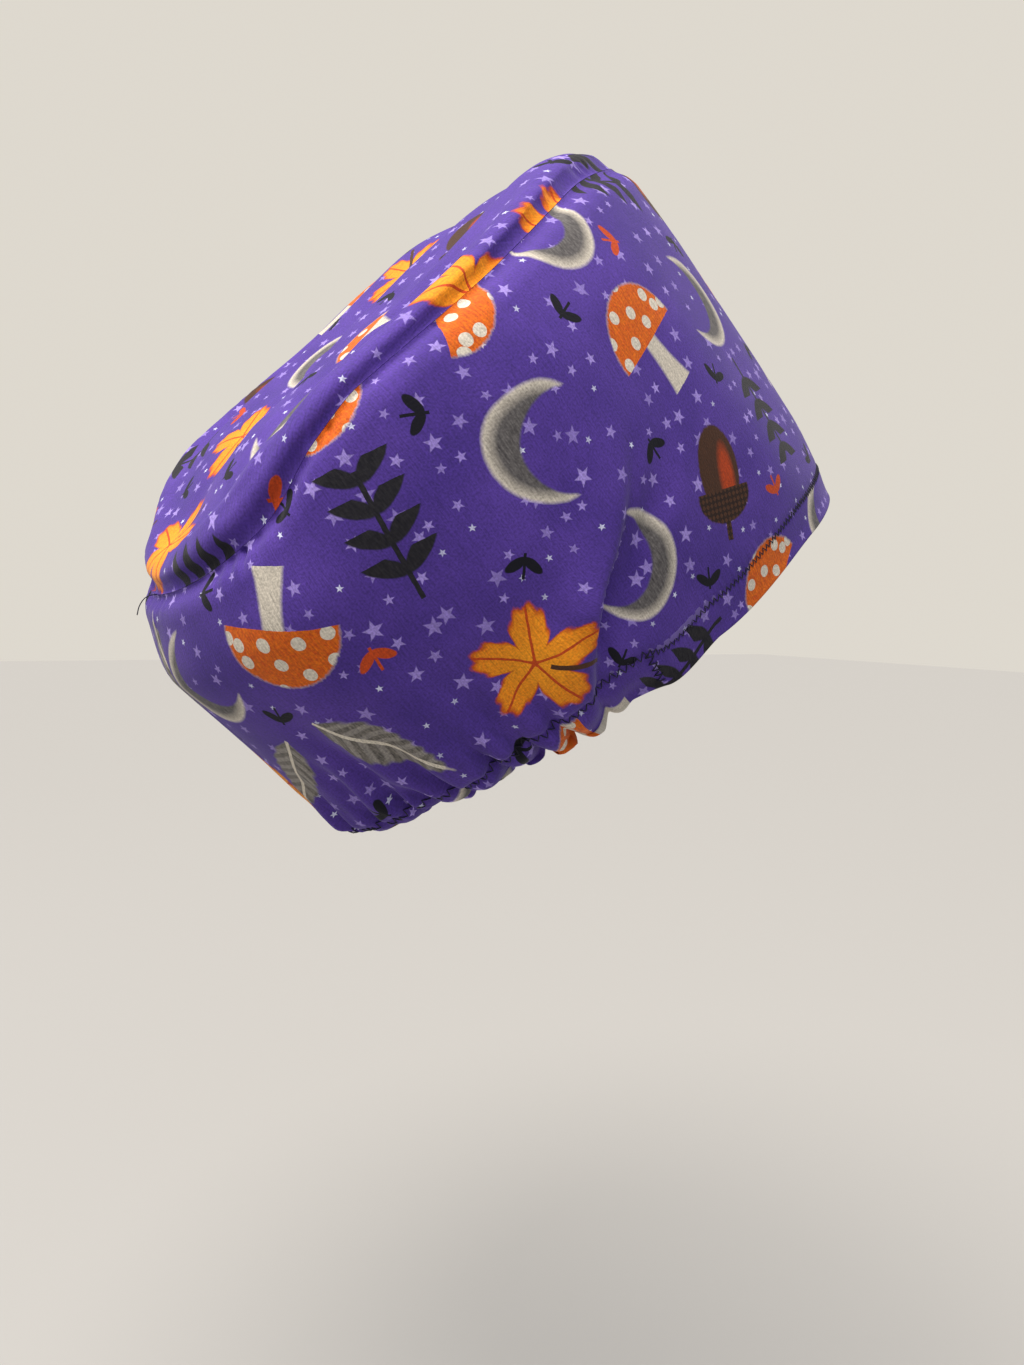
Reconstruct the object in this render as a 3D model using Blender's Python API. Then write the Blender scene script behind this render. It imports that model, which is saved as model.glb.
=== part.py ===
# Slouching gathered scrub cap, held in the form that it has when it is worn.
# Units are metres and +Z is up. The wearer faces -Y, and the wearer's left side is +X.
# The origin is the middle of the head opening, level with the rim above the ears.
# The cap is a long oval crown panel sewn into a deep side band. The band's lower edge is folded inside
# as a casing, and an elastic tape in the casing gathers it from ear to ear round the nape.

import functools
import math

import bmesh
import bpy
import numpy as np

# The cloth and what is sewn in it
CLOTH = 0.0012
CLEARANCE = 0.0003
ELASTIC = 0.0010
TAPE_CLEARANCE = 0.0005
HEM_DEPTH = 0.0125
CASING_DEPTH = 0.0165
CASING_EASE = 0.0015
HEM_BLEND = 0.03
SEAM_ALLOWANCE = 0.006

# The head opening
OPENING_WIDTH = 0.158
BROW_REACH = 0.101
NAPE_REACH = 0.078
BROW_HEIGHT = 0.071
NAPE_DROP = 0.049

# The crown panel: a long egg shape, narrow in front, whose front end is the cap's highest seam
CROWN_LENGTH = 0.219
CROWN_WIDTH = 0.162
CROWN_EGG = 0.22
CROWN_TILT = math.radians(44.6)
CROWN_FRONT_Y = -0.001
CROWN_FRONT_HEIGHT = 0.175
CROWN_ARCH = 0.0140
CROWN_PUFF = 0.0070

# How far the side band bellies out from the straight line between rim and seam
FULLNESS = 0.018

# The gathers behind the ears, counted from one end of the elastic to the other
GATHERS = 20
ELASTIC_START = math.radians(112.0)
GATHER_RISE = 0.0028
GATHER_DROOP = 0.0014
GATHER_REACH = 0.048
INNER_GATHER_RISE = 0.0012

# The soft fold above each ear, where the full back of the band lies over its tight front
FOLD_STEP = 0.0050
FOLD_WIDTH = 0.007
FOLD_START = math.radians(117.0)
FOLD_LEAN = math.radians(34.0)
FOLD_REACH = 0.55
TEMPLE_DENT = 0.0045
DENT_START = 0.20

# The colours of the cloth and the tape
COTTON = (0.17, 0.075, 0.50)
WHITE = (0.86, 0.85, 0.82)

# How finely the cloth is divided
COLUMNS_PER_GATHER = 4
FRONT_COLUMNS = 36

# The rim's height round the opening, as shares of BROW_HEIGHT and NAPE_DROP
RIM_COLUMNS = ("degrees", "brow", "nape")
RIM_RUN = (
    (0, 1.00, 0.00),
    (30, 0.93, 0.00),
    (60, 0.67, 0.00),
    (90, 0.17, 0.00),
    (104, 0.00, 0.06),
    (120, 0.00, 0.26),
    (150, 0.00, 0.68),
    (180, 0.00, 1.00),
)

# Along the crown from its front end: the seam's height above a straight line, as a share of CROWN_ARCH,
# and how full the panel stands inside its seam, as a share of CROWN_PUFF
CROWN_COLUMNS = ("along", "arch", "puff")
CROWN_RUN = (
    (0.00, 0.00, 0.80),
    (0.11, 0.40, 1.15),
    (0.27, 0.86, 1.05),
    (0.50, 0.98, 0.50),
    (0.72, 1.10, 0.20),
    (0.80, 0.85, 0.32),
    (0.90, 0.18, 0.60),
    (1.00, 0.00, 0.50),
)

# The band's belly at five heights of each section, as shares of FULLNESS
BELLY_HEIGHTS = (0.0, 0.08, 0.25, 0.50, 0.75, 0.93, 1.0)
BELLY_COLUMNS = ("degrees", "foot", "low", "mid", "high", "top")
BELLY_RUN = (
    (0, 0.16, 0.30, 0.26, 0.22, 0.15),
    (50, 0.08, 0.20, 0.24, 0.26, 0.17),
    (90, 0.14, 0.40, 0.60, 0.55, 0.28),
    (120, 0.40, 0.75, 0.85, 0.70, 0.32),
    (150, 0.66, 0.92, 0.95, 0.86, 0.36),
    (180, 0.80, 0.90, 0.86, 0.84, 0.32),
)

# The crown panel's rise inside its seam, from the seam (1) to the middle (0), as a share of CROWN_PUFF
PUFF_COLUMNS = ("radius", "rise")
PUFF_RUN = (
    (0.00, 0.92),
    (0.40, 0.86),
    (0.70, 1.00),
    (0.88, 0.95),
    (0.955, 0.60),
    (1.00, 0.00),
)

# Rows of points up the band's two faces, as shares of the way from the top of the hem to the seam
BAND_ROWS = (0.07, 0.18, 0.34, 0.52, 0.70, 0.84, 0.94)
INNER_ROWS = (0.84, 0.70, 0.52, 0.34, 0.18, 0.07)

# Rings of points on the crown, by radius: full rings near the seam, then rings with half as many points
CROWN_RINGS = (0.955, 0.88)
CROWN_INNER_RINGS = (0.74, 0.52, 0.27)


def clear_scene():
    for item in list(bpy.data.objects):
        bpy.data.objects.remove(item)


def unit(vector):
    return vector / np.linalg.norm(vector)


def column(table, names, name):
    place = names.index(name)
    return [row[place] for row in table]


def ease(xs, ys, x):
    """A smooth curve through the points (xs, ys) that makes no overshoot between them."""
    xs = np.asarray(xs, dtype=float)
    ys = np.asarray(ys, dtype=float)
    x = min(max(x, xs[0]), xs[-1])
    steps = np.diff(xs)
    slopes = np.diff(ys) / steps
    tangents = np.zeros(len(xs))
    for i in range(1, len(xs) - 1):
        before, after = slopes[i - 1], slopes[i]
        if before * after > 0:
            tangents[i] = 2 * before * after / (before + after)
    i = min(int(np.searchsorted(xs, x, side="right")) - 1, len(xs) - 2)
    t = (x - xs[i]) / steps[i]
    start = ys[i] * (1 + 2 * t) + tangents[i] * steps[i] * t
    end = ys[i + 1] * (3 - 2 * t) - tangents[i + 1] * steps[i] * (1 - t)
    return float(start * (1 - t) ** 2 + end * t**2)


def from_front(turn):
    """The angle from the middle of the brow, 0 to pi, whichever side of the head it is on."""
    turn = turn % (2 * math.pi)
    return min(turn, 2 * math.pi - turn)


def rim_point(turn):
    degrees = math.degrees(from_front(turn))
    angles = column(RIM_RUN, RIM_COLUMNS, "degrees")
    lift = BROW_HEIGHT * ease(angles, column(RIM_RUN, RIM_COLUMNS, "brow"), degrees)
    drop = NAPE_DROP * ease(angles, column(RIM_RUN, RIM_COLUMNS, "nape"), degrees)
    reach = BROW_REACH if math.cos(turn) > 0 else NAPE_REACH
    return np.array((OPENING_WIDTH / 2 * math.sin(turn), -reach * math.cos(turn), lift - drop))


def crown_place(along, across, height):
    """A point given in the tipped plane of the crown: along from its front end, across, and above."""
    back = along * math.cos(CROWN_TILT) + height * math.sin(CROWN_TILT)
    down = along * math.sin(CROWN_TILT) - height * math.cos(CROWN_TILT)
    return np.array((across, CROWN_FRONT_Y + back, CROWN_FRONT_HEIGHT - down))


def crown_point(turn, radius):
    """The crown panel's outer face, from its seam at radius 1 to its middle at radius 0."""
    along = (1 - radius * math.cos(turn)) / 2
    across = radius * math.sin(turn) * CROWN_WIDTH / 2 * (1 - CROWN_EGG * radius * math.cos(turn))
    steps = column(CROWN_RUN, CROWN_COLUMNS, "along")
    arch = CROWN_ARCH * ease(steps, column(CROWN_RUN, CROWN_COLUMNS, "arch"), along)
    puff = CROWN_PUFF * ease(steps, column(CROWN_RUN, CROWN_COLUMNS, "puff"), along)
    radii = column(PUFF_RUN, PUFF_COLUMNS, "radius")
    rise = ease(radii, column(PUFF_RUN, PUFF_COLUMNS, "rise"), radius)
    return crown_place(along * CROWN_LENGTH, across, arch + puff * rise)


def seam_point(turn):
    return crown_point(turn, 1.0)


def belly(turn, share):
    """How far the band stands out from the straight line at this share of the way up."""
    degrees = math.degrees(from_front(turn))
    angles = column(BELLY_RUN, BELLY_COLUMNS, "degrees")
    stops = [ease(angles, column(BELLY_RUN, BELLY_COLUMNS, name), degrees) for name in BELLY_COLUMNS[1:]]
    return FULLNESS * ease(BELLY_HEIGHTS, [0.0, *stops, 0.0], share)


def band_point(turn, share):
    """The band's outer face before it is gathered, from the rim at share 0 to the seam at share 1."""
    rim, seam = rim_point(turn), seam_point(turn)
    step = 0.01
    round_rim = rim_point(turn + step) - rim_point(turn - step)
    round_seam = seam_point(turn + step) - seam_point(turn - step)
    sideways = unit(round_rim) * (1 - share) + unit(round_seam) * share
    outward = unit(np.cross(sideways, seam - rim))
    return rim + (seam - rim) * share + outward * belly(turn, share)


def band_normal(turn, share):
    step = 0.004
    low, high = max(share - step, 0.0), min(share + step, 1.0)
    round_way = band_point(turn + step, share) - band_point(turn - step, share)
    return unit(np.cross(round_way, band_point(turn, high) - band_point(turn, low)))


def crown_normal(turn, radius):
    step = 0.01
    if radius < step:
        return unit(crown_place(0, 0, 1) - crown_place(0, 0, 0))
    high, low = min(radius + step, 1.0), radius - step
    round_way = crown_point(turn + step, radius) - crown_point(turn - step, radius)
    return unit(np.cross(round_way, crown_point(turn, low) - crown_point(turn, high)))


@functools.lru_cache(maxsize=None)
def band_height(turn):
    """The length of the band's outer face from rim to seam."""
    shares = np.linspace(0, 1, 25)
    points = [band_point(turn, share) for share in shares]
    return sum(float(np.linalg.norm(b - a)) for a, b in zip(points, points[1:]))


def over_tape(turn):
    """1 where the tape runs in the hem, falling to 0 past its ends."""
    return fade((ELASTIC_START - from_front(turn)) * OPENING_WIDTH / 2 / HEM_BLEND)


def hem_depth(turn):
    """The depth of the folded hem: shallow in front, and a deeper casing where the tape runs."""
    return HEM_DEPTH + (CASING_DEPTH - HEM_DEPTH) * over_tape(turn)


@functools.lru_cache(maxsize=None)
def rim_share(turn, distance):
    """The share of the band's height that lies this far from the rim, measured square to the rim."""
    step = 0.02
    up = unit(band_point(turn, step) - rim_point(turn))
    along = unit(rim_point(turn + step) - rim_point(turn - step))
    return distance / float(np.linalg.norm(np.cross(up, along))) / band_height(turn)


def hem_rows(turn):
    """Shares of the band's height at the tape's lower edge, middle and upper edge, and the hem's top."""
    low = rim_share(turn, CLOTH + TAPE_CLEARANCE)
    high = rim_share(turn, hem_depth(turn) - CASING_EASE)
    return [low, (low + high) / 2, high, rim_share(turn, hem_depth(turn))]


def fade(value):
    """1 at 0, falling smoothly to 0 at 1 and past it."""
    value = min(max(value, 0.0), 1.0)
    return (1 - value) ** 2 * (1 + 2 * value)


def gather_wave(turn):
    """0 in the valleys and at the elastic's ends, 1 on the crest of each gather."""
    share = (from_front(turn) - ELASTIC_START) / (math.pi - ELASTIC_START)
    if share <= 0:
        return 0.0
    return (1 - math.cos(share * math.pi * GATHERS)) / 2


def gather_rise(turn, distance):
    return GATHER_RISE * gather_wave(turn) * fade(distance / GATHER_REACH)


def fold_step(turn, share):
    """The step of the fold above the ear: full behind its line, and above the hem a dent before it."""
    line = FOLD_START - FOLD_LEAN * (share / FOLD_REACH)
    ahead = (line - from_front(turn)) * OPENING_WIDTH / 2
    over = 1 / (1 + math.exp(4 * ahead / FOLD_WIDTH))
    behind = fade(max(-ahead, 0) / (FOLD_WIDTH * 4))
    dent = math.exp(-(((ahead / FOLD_WIDTH) - 1.6) ** 2) / 3)
    strength = fade(share / (FOLD_REACH * 1.5))
    above_hem = 1 - fade((share - rim_share(turn, hem_depth(turn))) / DENT_START)
    return strength * (FOLD_STEP * over * behind - TEMPLE_DENT * dent * above_hem)


def band_face(turn, share, distance, sunk=0.0):
    """A point of the band's outer face, gathered and folded, or sunk below it by a wall's thickness."""
    rise = gather_rise(turn, distance) + fold_step(turn, share)
    return band_point(turn, share) + band_normal(turn, share) * (rise - sunk)


def casing_depth(turn):
    """How far in the hem's folded layer lies: room for the tape and its gaps, and close beyond its ends."""
    return CLOTH + CLEARANCE + (TAPE_CLEARANCE * 2 + ELASTIC) * over_tape(turn)


def hem_face(turn, share, sunk):
    rise = INNER_GATHER_RISE * gather_wave(turn)
    return band_point(turn, share) - band_normal(turn, share) * (casing_depth(turn) + rise + sunk)


def seam_frame(turn):
    """The seam's point, the way into the cap between its two cloths, and the way to the crown side."""
    near = 0.03
    seam = seam_point(turn)
    down_band = unit(band_point(turn, 1 - near) - seam)
    up_crown = unit(crown_point(turn, 1 - near) - seam)
    along = unit(seam_point(turn + near) - seam_point(turn - near))
    inward = -unit(np.cross(down_band, along)) - unit(np.cross(along, up_crown))
    inward = unit(inward - along * float(inward @ along))
    return seam, inward, np.cross(along, inward), down_band, up_crown


def turned_edge(corner, inward, sideways, away):
    """The four points that turn a cloth's edge inside: outer corner, two at the tip, and inner corner."""
    opening = math.acos(max(-1.0, min(1.0, float(away @ inward))))
    inner = corner + unit(away + inward) * CLOTH / math.sin(opening / 2)
    return [
        corner,
        corner + inward * SEAM_ALLOWANCE,
        corner + inward * SEAM_ALLOWANCE + sideways * CLOTH,
        inner,
    ]


def column_turns():
    """The angles of the columns: even along the front, and a fixed number for each gather behind."""
    back_columns = GATHERS * COLUMNS_PER_GATHER
    front = np.linspace(-ELASTIC_START, ELASTIC_START, FRONT_COLUMNS + 1)
    back = np.linspace(ELASTIC_START, 2 * math.pi - ELASTIC_START, back_columns + 1)
    return [*front[:-1], *back[:-1]]


def sew(name, verts, faces, colour, roughness):
    mesh = bpy.data.meshes.new(name)
    bm = bmesh.new()
    points = [bm.verts.new(v) for v in verts]
    for face in faces:
        bm.faces.new([points[i] for i in face])
    bmesh.ops.triangulate(bm, faces=bm.faces)
    if bm.calc_volume(signed=True) < 0:
        bmesh.ops.reverse_faces(bm, faces=bm.faces)
    bm.to_mesh(mesh)
    bm.free()
    mesh.shade_smooth()
    mesh.set_sharp_from_angle(angle=math.radians(50))
    material = bpy.data.materials.new(name + "_finish")
    material.use_nodes = True
    shader = material.node_tree.nodes["Principled BSDF"]
    shader.inputs["Base Color"].default_value = (*colour, 1.0)
    shader.inputs["Roughness"].default_value = roughness
    shader.inputs["Metallic"].default_value = 0.0
    mesh.materials.append(material)
    item = bpy.data.objects.new(name, mesh)
    bpy.context.scene.collection.objects.link(item)
    return item


def ring_faces(columns, size):
    """Quads that join closed profiles of the same size into one closed loop round the cap."""
    faces = []
    for c in range(columns):
        here, there = c * size, ((c + 1) % columns) * size
        for k in range(size):
            after = (k + 1) % size
            faces.append((here + k, there + k, there + after, here + after))
    return faces


def band_profile(turn):
    """One closed cut through the side band: outer face, turned seam edge, inner face and folded hem."""
    height = band_height(turn)
    rows = hem_rows(turn)
    hem = rows[-1]
    shares = rows + [hem + (1 - hem) * row for row in BAND_ROWS]
    outer = [band_face(turn, share, share * height) for share in shares]

    seam, inward, crownward, down_band, _ = seam_frame(turn)
    corner = seam - crownward * CLEARANCE / 2
    edge = turned_edge(corner, inward, -crownward, down_band)

    floor = rim_share(turn, CLOTH)
    inner_shares = [hem + (1 - hem) * row for row in INNER_ROWS] + rows[:0:-1] + [floor]
    inner = [band_face(turn, share, share * height, sunk=CLOTH) for share in inner_shares]

    hem_out = [hem_face(turn, share, 0.0) for share in (floor, *rows[1:])]
    hem_in = [hem_face(turn, share, CLOTH) for share in (rows[3], rows[1], floor)]

    droop = np.array((0, 0, -GATHER_DROOP)) * gather_wave(turn)
    fold_out = band_face(turn, 0.0, 0.0, sunk=CLOTH * 0.4) + droop
    fold_in = hem_face(turn, 0.0, CLOTH * 0.6) + droop
    return [*outer, *edge, *inner, *hem_out, *hem_in, fold_in, fold_out]


def make_side_band():
    profiles = [band_profile(turn) for turn in column_turns()]
    verts = [point for profile in profiles for point in profile]
    return sew("side_band", verts, ring_faces(len(profiles), len(profiles[0])), COTTON, 0.85)


def close_crown(verts, faces, ring, turns, sunk, reverse):
    """Carry one face of the crown from its last full ring to the middle, with half as many columns."""
    kept = turns[::2]
    for radius in CROWN_INNER_RINGS:
        inner = list(range(len(verts), len(verts) + len(kept)))
        verts.extend(crown_point(turn, radius) - crown_normal(turn, radius) * sunk for turn in kept)
        step = len(ring) // len(kept)
        for k in range(len(kept)):
            span = [ring[(k * step + j) % len(ring)] for j in range(step + 1)]
            face = (*span, inner[(k + 1) % len(kept)], inner[k])
            faces.append(face[::-1] if reverse else face)
        ring = inner
    middle = len(verts)
    verts.append(crown_point(0.0, 0.0) - crown_normal(0.0, 0.0) * sunk)
    for k in range(len(ring)):
        face = (ring[k], ring[(k + 1) % len(ring)], middle)
        faces.append(face[::-1] if reverse else face)


def make_crown_panel():
    turns = column_turns()
    verts, faces = [], []
    for turn in turns:
        seam, inward, crownward, _, up_crown = seam_frame(turn)
        corner = seam + crownward * CLEARANCE / 2
        verts.extend(crown_point(turn, ring) for ring in reversed(CROWN_RINGS))
        verts.extend(turned_edge(corner, inward, crownward, up_crown))
        verts.extend(crown_point(turn, ring) - crown_normal(turn, ring) * CLOTH for ring in CROWN_RINGS)
    size = len(verts) // len(turns)
    for c in range(len(turns)):
        here, there = c * size, (c + 1) % len(turns) * size
        for k in range(size - 1):
            faces.append((here + k, there + k, there + k + 1, here + k + 1))
    outer_ring = list(range(0, len(turns) * size, size))
    inner_ring = list(range(size - 1, len(turns) * size, size))
    close_crown(verts, faces, outer_ring, turns, 0.0, reverse=True)
    close_crown(verts, faces, inner_ring, turns, CLOTH, reverse=False)
    return sew("crown_panel", verts, faces, COTTON, 0.85)


def make_elastic_tape():
    """The flat tape in the casing, stretched smooth, with both ends square."""
    turns = np.linspace(ELASTIC_START, 2 * math.pi - ELASTIC_START, GATHERS * COLUMNS_PER_GATHER + 1)
    verts, faces = [], []
    for turn in turns:
        rows = hem_rows(turn)[:3]
        outside = CLOTH + TAPE_CLEARANCE
        for side, depth in ((rows, outside), (rows[::-1], outside + ELASTIC)):
            verts.extend(band_point(turn, share) - band_normal(turn, share) * depth for share in side)
    size = len(verts) // len(turns)
    for c in range(len(turns) - 1):
        here, there = c * size, (c + 1) * size
        for k in range(size):
            after = (k + 1) % size
            faces.append((here + k, there + k, there + after, here + after))
    last = len(verts) - size
    faces.append(tuple(range(size)))
    faces.append(tuple(range(last + size - 1, last - 1, -1)))
    return sew("elastic_tape", verts, faces, WHITE, 0.8)


clear_scene()
make_crown_panel()
make_side_band()
make_elastic_tape()
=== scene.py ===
import math

import bmesh
import bpy
import numpy as np
from mathutils import Matrix, Vector


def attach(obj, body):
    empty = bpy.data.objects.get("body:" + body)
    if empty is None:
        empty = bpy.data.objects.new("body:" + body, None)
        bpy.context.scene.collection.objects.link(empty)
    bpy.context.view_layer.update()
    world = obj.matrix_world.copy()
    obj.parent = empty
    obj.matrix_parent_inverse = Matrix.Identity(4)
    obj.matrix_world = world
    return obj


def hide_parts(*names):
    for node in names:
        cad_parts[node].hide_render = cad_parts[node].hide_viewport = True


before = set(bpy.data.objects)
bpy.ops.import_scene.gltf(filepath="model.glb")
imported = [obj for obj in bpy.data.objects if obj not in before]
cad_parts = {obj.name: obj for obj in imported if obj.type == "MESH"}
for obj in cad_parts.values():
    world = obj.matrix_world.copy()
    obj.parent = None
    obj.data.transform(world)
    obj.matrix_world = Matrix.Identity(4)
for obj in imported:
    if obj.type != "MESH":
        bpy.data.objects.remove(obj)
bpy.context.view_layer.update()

scene = bpy.context.scene

# ---------------------------------------------------------------------------------------------
# The side band: one long piece of printed quilting cotton, joined end to end at the middle of the back.
# Its lower edge is folded inside as a hem, which is the casing for the elastic tape behind the ears.
# The tape draws the cloth into small rounded puffs, and above the ear the slack back laps the front.

# The band runs from a rim that slopes from brow to nape up to the crown's edge, tipped back about 45 degrees.
# Turn is the angle round the head from the middle of the brow; share is the way from rim to seam.

OPENING_WIDTH, BROW_REACH, NAPE_REACH = 0.158, 0.101, 0.078
BROW_HEIGHT, NAPE_DROP = 0.071, 0.049
CROWN_LENGTH, CROWN_WIDTH, CROWN_EGG = 0.219, 0.162, 0.22
CROWN_TILT = math.radians(44.6)
CROWN_FRONT_Y, CROWN_FRONT_HEIGHT = -0.001, 0.175
CROWN_ARCH, CROWN_PUFF = 0.0140, 0.0070
FULLNESS = 0.018

# degrees, brow, nape
RIM_RUN = np.array((
    (0, 1.00, 0.00), (30, 0.93, 0.00), (60, 0.67, 0.00), (90, 0.17, 0.00),
    (104, 0.00, 0.06), (120, 0.00, 0.26), (150, 0.00, 0.68), (180, 0.00, 1.00)))

# along, arch, puff
CROWN_RUN = np.array((
    (0.00, 0.00, 0.80), (0.11, 0.40, 1.15), (0.27, 0.86, 1.05), (0.50, 0.98, 0.50),
    (0.72, 1.10, 0.20), (0.80, 0.85, 0.32), (0.90, 0.18, 0.60), (1.00, 0.00, 0.50)))

# degrees, then the belly at the seven heights
BELLY_HEIGHTS = np.array((0.0, 0.08, 0.25, 0.50, 0.75, 0.93, 1.0))
BELLY_RUN = np.array((
    (0, 0, 0.16, 0.30, 0.26, 0.22, 0.15, 0), (50, 0, 0.08, 0.20, 0.24, 0.26, 0.17, 0),
    (90, 0, 0.14, 0.40, 0.60, 0.55, 0.28, 0), (120, 0, 0.40, 0.75, 0.85, 0.70, 0.32, 0),
    (150, 0, 0.66, 0.92, 0.95, 0.86, 0.36, 0), (180, 0, 0.80, 0.90, 0.86, 0.84, 0.32, 0)))

# radius, rise
PUFF_RUN = np.array((
    (0.00, 0.92), (0.40, 0.86), (0.70, 1.00), (0.88, 0.95), (0.955, 0.60), (1.00, 0.00)))


def curve_through(xs, ys, x):
    """A smooth curve through the points that makes no overshoot; ys may differ for each value of x."""
    x = np.clip(np.asarray(x, float), xs[0], xs[-1])
    ys = np.asarray(ys, float)
    if ys.ndim == 1:
        ys = np.broadcast_to(ys.reshape((-1,) + (1,) * x.ndim), (len(xs),) + x.shape)
    steps = np.diff(xs).reshape((-1,) + (1,) * x.ndim)
    slopes = np.diff(ys, axis=0) / steps
    product, total = slopes[:-1] * slopes[1:], slopes[:-1] + slopes[1:]
    tangents = np.zeros_like(ys)
    tangents[1:-1] = np.where(product > 0, 2 * product / np.where(product > 0, total, 1), 0)
    place = np.clip(np.searchsorted(xs, x, side="right") - 1, 0, len(xs) - 2)

    def at(values, i):
        return np.take_along_axis(values, i[None], axis=0)[0]

    width = np.diff(xs)[place]
    t = (x - np.asarray(xs)[place]) / width
    start = at(ys, place) * (1 + 2 * t) + at(tangents, place) * width * t
    end = at(ys, place + 1) * (3 - 2 * t) - at(tangents, place + 1) * width * (1 - t)
    return start * (1 - t) ** 2 + end * t**2


def from_front(turn):
    turn = np.mod(turn, 2 * math.pi)
    return np.minimum(turn, 2 * math.pi - turn)


def unit(vectors):
    return vectors / np.maximum(np.linalg.norm(vectors, axis=-1, keepdims=True), 1e-12)


def rim_point(turn):
    degrees = np.degrees(from_front(turn))
    lift = BROW_HEIGHT * curve_through(RIM_RUN[:, 0], RIM_RUN[:, 1], degrees)
    drop = NAPE_DROP * curve_through(RIM_RUN[:, 0], RIM_RUN[:, 2], degrees)
    reach = np.where(np.cos(turn) > 0, BROW_REACH, NAPE_REACH)
    return np.stack((OPENING_WIDTH / 2 * np.sin(turn), -reach * np.cos(turn), lift - drop), -1)


def crown_place(along, across, height):
    back = along * math.cos(CROWN_TILT) + height * math.sin(CROWN_TILT)
    down = along * math.sin(CROWN_TILT) - height * math.cos(CROWN_TILT)
    return np.stack((across + 0 * back, CROWN_FRONT_Y + back, CROWN_FRONT_HEIGHT - down), -1)


def crown_flat(turn, radius):
    """Where a point of the crown lies in its plane: along its length, 0 to 1, and across it in metres."""
    along = (1 - radius * np.cos(turn)) / 2
    across = radius * np.sin(turn) * CROWN_WIDTH / 2 * (1 - CROWN_EGG * radius * np.cos(turn))
    return along, across


def crown_point(turn, radius):
    along, across = crown_flat(turn, radius)
    arch = CROWN_ARCH * curve_through(CROWN_RUN[:, 0], CROWN_RUN[:, 1], along)
    puff = CROWN_PUFF * curve_through(CROWN_RUN[:, 0], CROWN_RUN[:, 2], along)
    rise = curve_through(PUFF_RUN[:, 0], PUFF_RUN[:, 1], radius)
    return crown_place(along * CROWN_LENGTH, across, arch + puff * rise)


def seam_point(turn):
    return crown_point(turn, np.ones_like(turn))


def band_point(turn, share):
    """The band's outer face before folds and gathers, from the rim at share 0 to the seam at 1."""
    rim, seam = rim_point(turn), seam_point(turn)
    step = 0.01
    round_rim = unit(rim_point(turn + step) - rim_point(turn - step))
    round_seam = unit(seam_point(turn + step) - seam_point(turn - step))
    part = share[..., None]
    outward = unit(np.cross(round_rim * (1 - part) + round_seam * part, seam - rim))
    degrees = np.degrees(from_front(turn))
    stops = np.stack([curve_through(BELLY_RUN[:, 0], BELLY_RUN[:, k], degrees) for k in range(1, 8)])
    belly = FULLNESS * curve_through(BELLY_HEIGHTS, stops, share)
    return rim + (seam - rim) * part + outward * belly[..., None]


def fade(value):
    """1 at 0, falling smoothly to 0 at 1 and past it."""
    value = np.clip(value, 0.0, 1.0)
    return (1 - value) ** 2 * (1 + 2 * value)


def grid_normals(points):
    """Outward normals of a grid of points, rows from low to high and columns round the cap."""
    round_way = np.roll(points, -1, axis=1) - np.roll(points, 1, axis=1)
    return unit(np.cross(round_way, np.gradient(points, axis=0)))


# Cloth, hem, gathers and lap
CLOTH = 0.0005
COLUMNS = 700
# The row of the band along which the flat pattern is measured
PATTERN_ROW = 38
HEM_DEPTH, CASING_DEPTH, HEM_BLEND = 0.0125, 0.0165, 0.03
SEAM_ALLOWANCE = 0.006
ELASTIC_START = math.radians(112.0)
GATHERS = 20
GATHER_RISE = 0.0068
FOLD_STEP, FOLD_BACK = 0.0052, 0.024
chance = np.random.default_rng(11)


def columns_round():
    """Angles of the band's columns, closest where the cloth is gathered and folded."""
    fine = np.radians(np.arange(0, 360, 0.25))
    degrees = np.degrees(from_front(fine))
    density = np.interp(degrees, [0, 66, 78, 122, 180], [0.42, 0.45, 1.05, 1.15, 1.15])
    total = np.concatenate(([0], np.cumsum(density)))
    wanted = np.linspace(0, total[-1], COLUMNS + 1)[:-1]
    return np.interp(wanted, total, np.radians(np.arange(0, 360.1, 0.25)))


turns = columns_round()
rows = np.r_[np.linspace(0, 0.16, 22), np.linspace(0.16, 0.90, 40)[1:], np.linspace(0.90, 1, 14)[1:]]
TURN, SHARE = np.meshgrid(turns, rows)
base = band_point(TURN, SHARE)
climb = np.concatenate((np.zeros((1, COLUMNS)),
                        np.cumsum(np.linalg.norm(np.diff(base, axis=0), axis=2), axis=0)))
height = climb[-1]
around_rim = unit(rim_point(turns + 0.02) - rim_point(turns - 0.02))
square = np.linalg.norm(np.cross(unit(base[2] - base[0]), around_rim), axis=1)
from_rim = climb * square
girth = np.linalg.norm(np.roll(base, -1, 1) - base, axis=2)[PATTERN_ROW]
arc = np.concatenate(([0], np.cumsum(girth)[:-1]))
total_arc = girth.sum()
ARC = np.broadcast_to(arc, SHARE.shape)


def along_columns(values, levels):
    """Grid values read at one distance from the rim in each column."""
    out = np.empty((COLUMNS, 3))
    for c in range(COLUMNS):
        for k in range(3):
            out[c, k] = np.interp(levels[c], from_rim[:, c], values[:, c, k])
    return out


over_tape = fade((ELASTIC_START - from_front(turns)) * OPENING_WIDTH / 2 / HEM_BLEND)
hem_top = HEM_DEPTH + (CASING_DEPTH - HEM_DEPTH) * over_tape

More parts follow.
